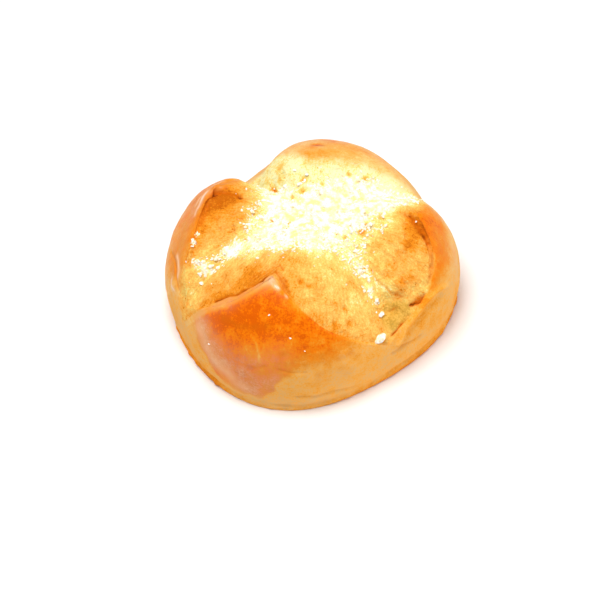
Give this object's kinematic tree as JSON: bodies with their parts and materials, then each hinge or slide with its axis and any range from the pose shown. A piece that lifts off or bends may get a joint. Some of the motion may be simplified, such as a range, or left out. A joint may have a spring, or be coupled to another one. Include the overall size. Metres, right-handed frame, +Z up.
{
  "type": "coconut bread roll",
  "caption": "Round baked bread roll, slashed in a cross so that crusty petals open around a star of torn crumb sprinkled with coconut shreds; it stands on its flat base.",
  "frame": {"origin": "centre of the flat base, on the surface that the roll stands on", "axes": "+Z up, -Y towards the front petal, which faces the camera, +X to the right as seen from the front"},
  "size_m": [0.1006, 0.099, 0.0483],
  "materials": {
    "crust": "egg-washed baked crust, satin to glossy on the petals, matt and paler on the torn crumb and the lower wall",
    "coconut": "dry white coconut shreds and dust, matt"
  },
  "bodies": {
    "root": {"bread_roll": "crust"}
  },
  "joints": []
}
